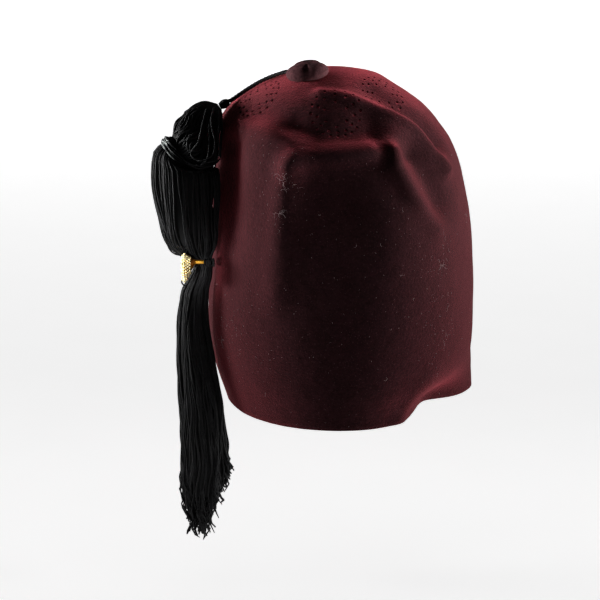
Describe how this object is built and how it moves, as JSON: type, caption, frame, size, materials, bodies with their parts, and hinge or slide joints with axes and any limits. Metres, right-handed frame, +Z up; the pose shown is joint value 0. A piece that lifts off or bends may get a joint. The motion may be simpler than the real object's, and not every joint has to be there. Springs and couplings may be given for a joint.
{
  "type": "fez hat",
  "caption": "Soft slumped felt fez with pierced vent rosettes, a covered button, and a black thread tassel hanging at the left from a cord, held by a gilt clasp.",
  "frame": {"origin": "near the middle of the rim's plane, where the hat sits on a head", "axes": "+Z up, +X to the wearer's right, +Y to the wearer's front, the tassel hanging on the left"},
  "size_m": [0.1963, 0.1816, 0.2944],
  "materials": {
    "burgundy_felt": "napped wool felt, matt",
    "dark_felt": "napped wool felt, matt",
    "black_rayon": "twisted thread with a soft sheen",
    "metallic_thread": "sparkling wound thread",
    "gilt_metal": "polished gilt with a grainy face"
  },
  "bodies": {
    "root": {"felt_crown": "burgundy_felt", "crown_button": "dark_felt", "tassel_cord": "black_rayon", "cord_whipping": "metallic_thread", "tassel": "black_rayon", "tassel_winding": "metallic_thread", "tassel_clasp": "gilt_metal"}
  },
  "joints": []
}
